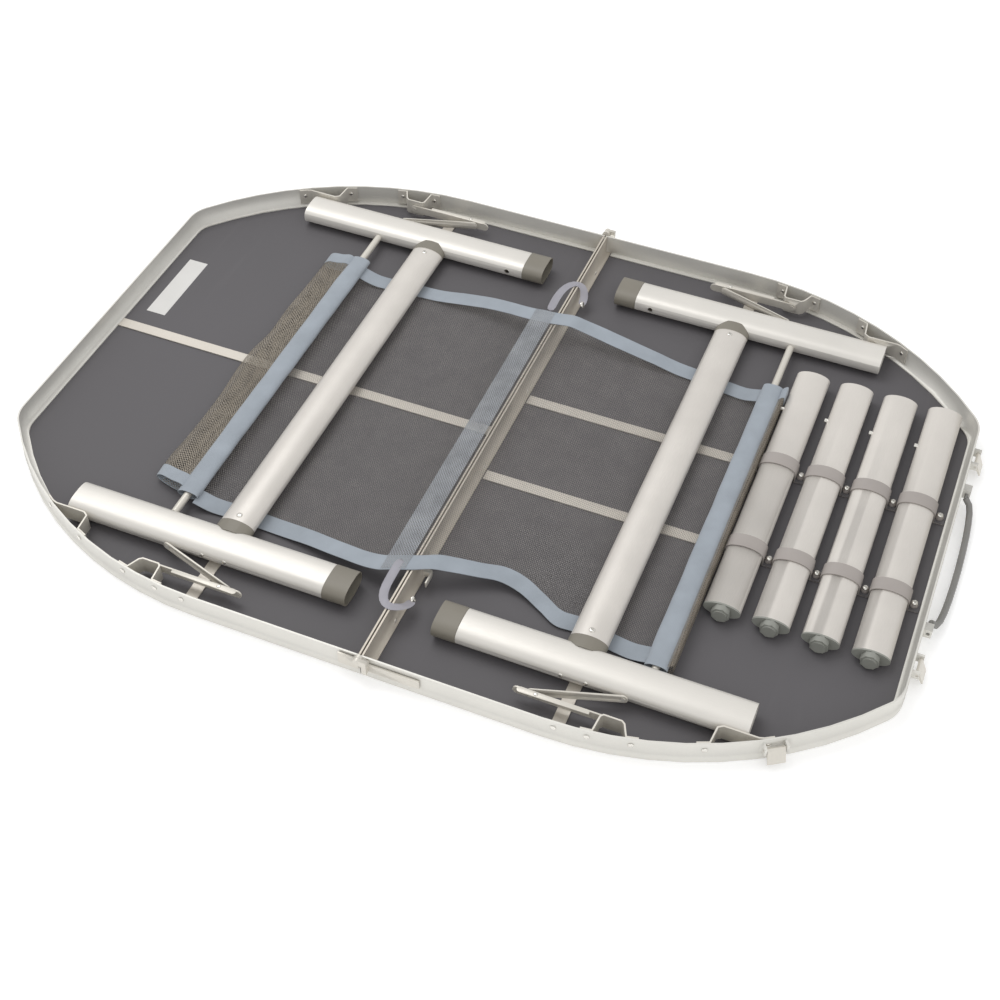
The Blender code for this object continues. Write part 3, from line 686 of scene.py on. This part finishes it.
def dome(cage, centre, normal, radius, height, recess=False):
    """A screw or rivet head: a lathed dome on a short edge, with a cross recess for a screw."""
    centre = Vector(centre)
    normal = Vector(normal).normalized()
    side = normal.orthogonal().normalized()
    other = normal.cross(side)
    turns = RECESS_TURNS if recess else ROUND_TURNS

    def at(turn, share, lift):
        outward = side * math.cos(turn) + other * math.sin(turn)
        return cage.verts.new(centre + outward * radius * share + normal * height * lift)

    rings = [[at(turn, share, lift) for turn in turns] for share, lift in HEAD_PROFILE]
    if recess:
        # Of every five turns, two lie in an arm of the cross and go deep.
        deep = [i % 5 in (1, 2) for i in range(len(turns))]
        rings.append(
            [at(turn, 0.46, RECESS_DEPTH) if low else at(turn, 0.20, 0.99) for turn, low in zip(turns, deep)]
        )
    top = cage.verts.new(centre + normal * height * (RECESS_DEPTH if recess else 1.0))
    for low, high in zip(rings, rings[1:]):
        for i in range(len(turns)):
            n = (i + 1) % len(turns)
            cage.faces.new((low[i], low[n], high[n], high[i]))
    last = rings[-1]
    for i in range(len(turns)):
        cage.faces.new((last[i], last[(i + 1) % len(turns)], top))
    cage.faces.new(rings[0][::-1])


def heads(name, body, places, paint=BRIGHT, recess=False):
    """Several heads on one body, as one piece. A place is a centre, a normal, a radius and a height."""
    cage = bmesh.new()
    for centre, normal, radius, height in places:
        dome(cage, centre, normal, radius, height, recess)
    obj = new_object(name, mesh_from(cage, name), [paint])
    smooth(obj.data, 40)
    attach(obj, body)


UP = (0, 0, 1)
CROSS_SCREW_Y = 0.284
CROSS_SCREW = (0.0040, 0.0017)
for side, sign in SIDES:
    x = FOLD_X + sign * CROSS_X
    heads(
        f"cross_tube_screws_{side}",
        f"{side}_legs",
        [((x, end * CROSS_SCREW_Y, CROSS_TOP), UP, *CROSS_SCREW) for _, end in ENDS],
        recess=True,
    )

# Screw heads in the gaps beside the clip straps, each on a small boss.
CLIP_GAPS = (0.3975, 0.4585, 0.5195, 0.5805)
CLIP_SCREW_Y = 0.0775
BOSS_Z = 0.0063
CLIP_SCREW_Z = 0.0112
for level, end in (("lower", -1), ("upper", 1)):
    y = end * CLIP_SCREW_Y
    cage = bmesh.new()
    for gap in CLIP_GAPS:
        dome(cage, (FOLD_X + gap, y, BOSS_Z), UP, 0.0052, 0.0050)
    boss = new_object(f"clip_bosses_{level}", mesh_from(cage, "bosses"), [CLIP])
    smooth(boss.data, 40)
    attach(boss, "right_half")
    screws = [((FOLD_X + gap, y, CLIP_SCREW_Z), UP, 0.0042, 0.0022) for gap in CLIP_GAPS]
    heads(f"clip_screws_{level}", "right_half", screws, recess=True)

SIDE_STRAIGHT = 0.224
SIDE_RADIUS = 0.470
HALF_WIDTH = 0.426


def side_y(x):
    """Half-width of the rim at x from the fold: straight, then bowed."""
    if x <= SIDE_STRAIGHT:
        return HALF_WIDTH
    return HALF_WIDTH - SIDE_RADIUS + math.sqrt(SIDE_RADIUS**2 - (x - SIDE_STRAIGHT) ** 2)


def side_normal(x):
    """The rim's outward direction there, for the half and side with positive X and Y."""
    bow = math.asin(max(0.0, x - SIDE_STRAIGHT) / SIDE_RADIUS)
    return Vector((math.sin(bow), math.cos(bow), 0))


# Rivets through the rim, at the feet of the leg and brace brackets: a head outside and one inside.
BRACKET_FEET = (0.2405, 0.2795, 0.3295, 0.4080, 0.4720)
HIDDEN_FOOT = BRACKET_FEET[0]
RIVET_Z = 0.0235
RIM_OUTSET = 0.0012
RIM_AND_FOOT = 0.0052
for side, sign in SIDES:
    outer, inner = [], []
    for _, end in ENDS:
        for x in BRACKET_FEET:
            away = side_normal(x)
            normal = Vector((sign * away.x, end * away.y, 0))
            at = Vector((FOLD_X + sign * x, end * side_y(x), RIVET_Z)) - normal * RIM_OUTSET
            outer.append((at, normal, 0.0036, 0.0013))
            if x != HIDDEN_FOOT:
                inner.append((at - normal * RIM_AND_FOOT - Vector((0, 0, 0.001)), -normal, 0.0030, 0.0014))
    heads(f"rim_rivets_{side}", f"{side}_half", outer)
    heads(f"bracket_rivets_{side}", f"{side}_half", inner)


PLATE_EDGE = 0.0004


def plate(name, outline, low, high, body):
    """A flat steel plate of the outline in XY between two heights, with rounded edges."""
    cage = bmesh.new()
    bottom = [cage.verts.new((x, y, low)) for x, y in outline]
    top = [cage.verts.new((x, y, high)) for x, y in outline]
    cage.faces.new(bottom[::-1])
    cage.faces.new(top)
    for i in range(len(outline)):
        n = (i + 1) % len(outline)
        cage.faces.new((bottom[i], bottom[n], top[n], top[i]))
    bmesh.ops.recalc_face_normals(cage, faces=cage.faces)
    obj = new_object(name, mesh_from(cage, name), [STEEL])
    rounding = obj.modifiers.new("edge", "BEVEL")
    rounding.width = PLATE_EDGE
    rounding.segments = 2
    rounding.limit_method = "ANGLE"
    applied(obj)
    smooth(obj.data, 40)
    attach(obj, body)


def round_strip(start, end, wide_start, wide_end):
    """Outline of a strip from start to end, of two half-widths, with a round end."""
    steps = 6
    (x0, y0), (x1, y1) = start, end
    run = math.hypot(x1 - x0, y1 - y0)
    dx, dy = (x1 - x0) / run, (y1 - y0) / run
    nx, ny = -dy, dx
    points = [(x0 + nx * wide_start, y0 + ny * wide_start)]
    for i in range(steps + 1):
        turn = math.pi * i / steps
        c, s = math.cos(turn) * wide_end, math.sin(turn) * wide_end
        points.append((x1 + nx * c + dx * s, y1 + ny * c + dy * s))
    points.append((x0 - nx * wide_start, y0 - ny * wide_start))
    return points


# Each brace lever is a channel, with a flange turned over along its top edge and a rivet in the flange.
LEVER_Y = 0.3915
LEVER_ROOT = 0.272
LEVER_TIP = 0.187
LEVER_RIVET = 0.2066
FLANGE_LOW = 0.0250
FLANGE_HIGH = 0.0266
for side, sign in SIDES:
    for end_name, end in ENDS:
        corner = f"{side}_{end_name}"
        marks = (LEVER_ROOT, LEVER_TIP, LEVER_RIVET)
        root, tip, rivet = [(FOLD_X + sign * x, end * LEVER_Y) for x in marks]
        outline = round_strip(root, tip, 0.0026, 0.0040)
        plate(f"lever_flange_{corner}", outline, FLANGE_LOW, FLANGE_HIGH, f"lever_{corner}")
        heads(f"lever_rivet_{corner}", f"lever_{corner}", [((*rivet, 0.0265), UP, 0.0026, 0.0012)])


# Translucent loops over the fold rails, each held by a screw on the right rail.
STRAP_WIDE = 0.0125
STRAP_THICK = 0.0012
STRAP_SIDES = 10


def strap(name, path):
    """A flat plastic strap along a path of (x, y, z) points, with X from the fold plane."""
    path = [Vector((FOLD_X + x, y, z)) for x, y, z in path]
    cage = bmesh.new()
    rings = []
    for i, point in enumerate(path):
        along = (path[min(i + 1, len(path) - 1)] - path[max(i - 1, 0)]).normalized()
        flat = Vector((along.y, -along.x, 0))
        flat = flat.normalized() if flat.length > 0.2 else Vector((1, 0, 0))
        rise = along.cross(flat).normalized()
        turns = [2 * math.pi * k / STRAP_SIDES for k in range(STRAP_SIDES)]
        rings.append(
            [
                cage.verts.new(
                    point + flat * math.cos(turn) * STRAP_WIDE / 2 + rise * math.sin(turn) * STRAP_THICK / 2
                )
                for turn in turns
            ]
        )
    for low, high in zip(rings, rings[1:]):
        for k in range(STRAP_SIDES):
            n = (k + 1) % STRAP_SIDES
            cage.faces.new((low[k], low[n], high[n], high[k]))
    cage.faces.new(rings[0][::-1])
    cage.faces.new(rings[-1])
    bmesh.ops.recalc_face_normals(cage, faces=cage.faces)
    obj = new_object(name, mesh_from(cage, name), [CLEAR])
    smooth(obj.data, 70)
    rounding = obj.modifiers.new("smooth", "SUBSURF")
    rounding.levels = rounding.render_levels = 1
    applied(obj)
    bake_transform(obj)


NEAR_LOOP = [
    (-0.0165, -0.272, 0.0362), (-0.0170, -0.292, 0.0358), (-0.0170, -0.310, 0.0356),
    (-0.0160, -0.326, 0.0354), (-0.0110, -0.340, 0.0352), (-0.001, -0.3465, 0.0352),
    (0.008, -0.343, 0.0340), (0.0145, -0.335, 0.0290), (0.0165, -0.326, 0.0225), (0.0165, -0.315, 0.0190),
]
FAR_LOOP = [
    (-0.0150, 0.228, 0.0362), (-0.0160, 0.246, 0.0358), (-0.0165, 0.262, 0.0356),
    (-0.0150, 0.281, 0.0354), (-0.0090, 0.296, 0.0352), (0.000, 0.302, 0.0352),
    (0.0090, 0.301, 0.0335), (0.0145, 0.294, 0.0275), (0.0165, 0.285, 0.0220), (0.0165, 0.275, 0.0200),
]
strap("fold_loop_near", NEAR_LOOP)
strap("fold_loop_far", FAR_LOOP)
SIDEWAYS = (1, 0, 0.55)
heads(
    "fold_loop_screws",
    "right_half",
    [
        ((FOLD_X + 0.0172, -0.3150, 0.0195), SIDEWAYS, 0.0052, 0.0026),
        ((FOLD_X + 0.0178, 0.2760, 0.0200), SIDEWAYS, 0.0056, 0.0026),
    ],
    recess=True,
)

RAIL_FACE = 0.0107
RAIL_RIVETS = (-0.352, -0.077, 0.077, 0.352)
rivets = [((FOLD_X + RAIL_FACE, y, 0.0200), (1, 0, 0), 0.0030, 0.0012) for y in RAIL_RIVETS]
heads("centre_rail_rivets", "right_half", rivets, STEEL)

# A small bent hook plate on the right rail, beside the near loop.
HOOK = [
    (0.0112, -0.266), (0.0215, -0.266), (0.0225, -0.270), (0.0225, -0.288), (0.0205, -0.288),
    (0.0200, -0.272), (0.0112, -0.272),
]
plate("net_hook_plate", [(FOLD_X + x, y) for x, y in HOOK], 0.0150, 0.0235, "right_half")

# Screws in the legs, by the cross tube's end and the brace link.
LEG_SCREWS = (0.222, 0.253)
LEG_FACE = 0.3518
for side, sign in SIDES:
    screws = [
        ((FOLD_X + sign * x, end * LEG_FACE, 0.0215), (0, end, 0.25), 0.0030, 0.0018)
        for _, end in ENDS
        for x in LEG_SCREWS
    ]
    heads(f"leg_screws_{side}", f"{side}_legs", screws)

# The blank label on the left panel.
LABEL_X = FOLD_X - 0.554
LABEL_Y = 0.100
LABEL_WIDE = 0.030
LABEL_LONG = 0.126
LABEL_LIFT = 0.00022


def label_point(u, v):
    x = LABEL_X + LABEL_WIDE * (u - 0.5)
    y = LABEL_Y + LABEL_LONG * (v - 0.5)
    return Vector((x, y, PANEL_TOP + LABEL_LIFT))


label = thick(surface("blank_label", 6, 24, label_point, LABEL), 0.0002)
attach(label, "left_half")


# ---------------------------------------------------------------------------------------------- stage
FLOOR_REACH = 6
FLOOR_DROP = 0.0006
floor_mesh = bpy.data.meshes.new("floor")
floor_corners = [(x * FLOOR_REACH, y * FLOOR_REACH, 0) for x, y in ((-1, -1), (1, -1), (1, 1), (-1, 1))]
floor_mesh.from_pydata(floor_corners, [], [(0, 1, 2, 3)])
floor = new_object("floor", floor_mesh, [floor_material()])
floor.location.z = -FLOOR_DROP

world = bpy.data.worlds.new("studio")
bpy.context.scene.world = world
world.use_nodes = True
background = world.node_tree.nodes["Background"]
background.inputs["Color"].default_value = (1.0, 1.0, 1.0, 1)
background.inputs["Strength"].default_value = 0.78
bpy.context.scene.view_settings.view_transform = "Standard"


def softbox(name, location, size, power):
    """A square area light that faces the middle of the object."""
    light = bpy.data.lights.new(name, "AREA")
    light.shape = "SQUARE"
    light.size = size
    light.energy = power
    obj = bpy.data.objects.new(name, light)
    bpy.context.scene.collection.objects.link(obj)
    obj.location = location
    obj.rotation_euler = (-Vector(location)).to_track_quat("-Z", "Y").to_euler()


softbox("key", (-1.2, 0.6, 2.6), 1.8, 27)
softbox("fill", (1.6, -1.8, 1.8), 2.2, 10)

CAMERA_TURN = math.radians(21.78)
CAMERA_RISE = math.radians(47.74)
CAMERA_ROLL = math.radians(0.67)
CAMERA_PLACE = (0.53405, -1.35864, 1.48411)
toward = Vector(
    (
        math.sin(CAMERA_TURN) * math.cos(CAMERA_RISE),
        -math.cos(CAMERA_TURN) * math.cos(CAMERA_RISE),
        math.sin(CAMERA_RISE),
    )
)
ahead = -toward
level = ahead.cross(Vector((0, 0, 1))).normalized()
upright = level.cross(ahead)
right = math.cos(CAMERA_ROLL) * level + math.sin(CAMERA_ROLL) * upright
up = -math.sin(CAMERA_ROLL) * level + math.cos(CAMERA_ROLL) * upright
lens = bpy.data.cameras.new("camera")
lens.lens = 55.51
lens.sensor_width = 36
lens.clip_end = 50
camera = bpy.data.objects.new("camera", lens)
bpy.context.scene.collection.objects.link(camera)
place = Matrix((right, up, toward)).transposed().to_4x4()
place.translation = Vector(CAMERA_PLACE)
camera.matrix_world = place
bpy.context.scene.camera = camera
